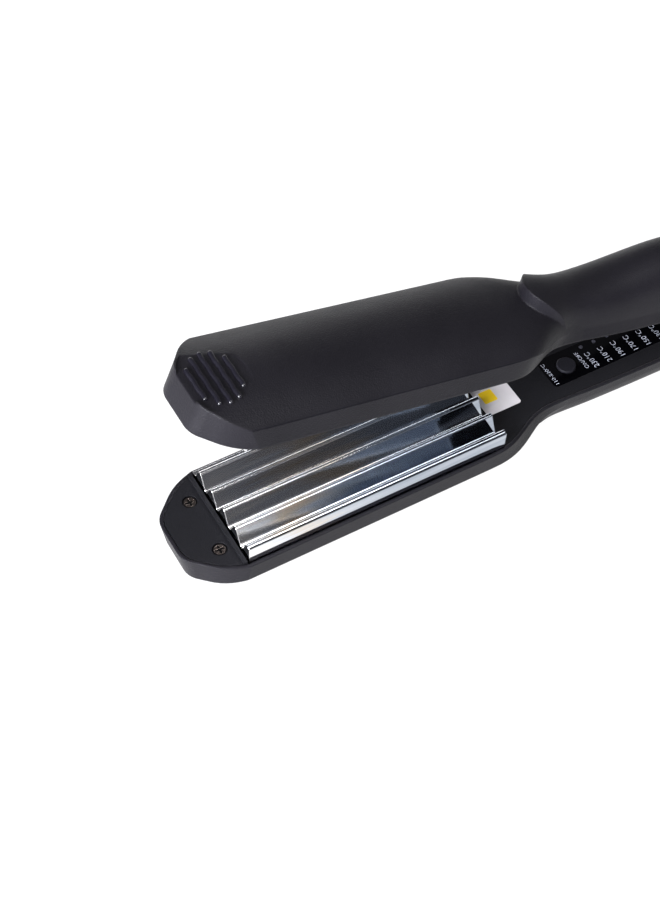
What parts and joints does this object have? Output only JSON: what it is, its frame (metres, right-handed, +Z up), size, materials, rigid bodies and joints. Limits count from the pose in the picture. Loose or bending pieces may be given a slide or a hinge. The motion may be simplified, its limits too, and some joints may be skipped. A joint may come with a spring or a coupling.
{
  "type": "hair crimper",
  "caption": "Hair crimper: hinged arms with meshing corrugated heating plates, moulded shells with a waist and cuff, ribbed thumb rest, control panel and swivelling cord inlet.",
  "frame": {"origin": "on the surface that the lower arm lies on, below the middle of the whole length", "axes": "+X along the lower arm towards the hinge and the cord, +Z up, +Y to the side of the temperature lights"},
  "size_m": [0.278, 0.047, 0.0934],
  "materials": {
    "charcoal_shell": "soft matte moulded",
    "bright_plate": "polished to a mirror",
    "carrier": "heat-resistant moulding",
    "ceramic": "ceramic",
    "spring_steel": "spring steel",
    "sensor_glass": "glazed bead",
    "cutout_case": "tinned case",
    "inner_black": "fine matte moulded",
    "dark_screw": "blackened steel",
    "panel_gloss": "glossy black",
    "button_black": "matte",
    "light_rod": "smoked clear rods",
    "lamp_chip": "lamp chip",
    "board_green": "coated board",
    "switch_case": "moulded case",
    "chip_black": "moulded case",
    "capacitor_case": "coated case",
    "label_white": "printed film, blank",
    "pin_steel": "ground steel",
    "washer_white": "low-friction plastic"
  },
  "bodies": {
    "lower_arm": {"lower_shell": "charcoal_shell", "lower_heating_plate": "bright_plate", "lower_plate_carrier": "carrier", "lower_heater": "ceramic", "lower_heater_clip": "spring_steel", "lower_sensor": "sensor_glass", "lower_cutout": "cutout_case", "lower_nose_cover": "inner_black", "lower_nose_screws": "dark_screw", "lower_inner_cover": "inner_black", "lower_cover_screws": "dark_screw", "control_panel": "panel_gloss", "temperature_lights": "light_rod", "lamp_chips": "lamp_chip", "circuit_board": "board_green", "push_switch": "switch_case", "power_chip": "chip_black", "filter_capacitor": "capacitor_case", "blank_label": "label_white", "hinge_bracket": "charcoal_shell", "hinge_pin": "pin_steel", "hinge_caps": "inner_black", "hinge_washer": "washer_white", "hinge_spring": "spring_steel", "swivel_keeper": "pin_steel"},
    "upper_arm": {"upper_shell": "charcoal_shell", "upper_heating_plate": "bright_plate", "upper_plate_carrier": "carrier", "upper_heater": "ceramic", "upper_heater_clip": "spring_steel", "upper_sensor": "sensor_glass", "upper_cutout": "cutout_case", "upper_nose_cover": "inner_black", "upper_nose_screws": "dark_screw", "upper_inner_cover": "inner_black", "upper_cover_screws": "dark_screw"},
    "power_button": {"power_button": "button_black"},
    "cord_swivel": {"cord_swivel": "inner_black"}
  },
  "joints": [
    {"name": "arm_hinge", "type": "hinge", "parent": "lower_arm", "child": "upper_arm", "pos_m": [0.1174, 0, 0.0354], "axis": [0, -1, 0], "range_deg": [0, 13], "stiffness_Nm_per_rad": 0.9, "springref_deg": -25.78},
    {"name": "button_press", "type": "slide", "parent": "lower_arm", "child": "power_button", "axis": [0, 0, -1], "range_m": [0, 0.0008], "stiffness_N_per_m": 800},
    {"name": "cord_swivel_turn", "type": "hinge", "parent": "lower_arm", "child": "cord_swivel", "pos_m": [0.132, 0, 0.007], "axis": [1, 0, 0], "continuous": true}
  ]
}
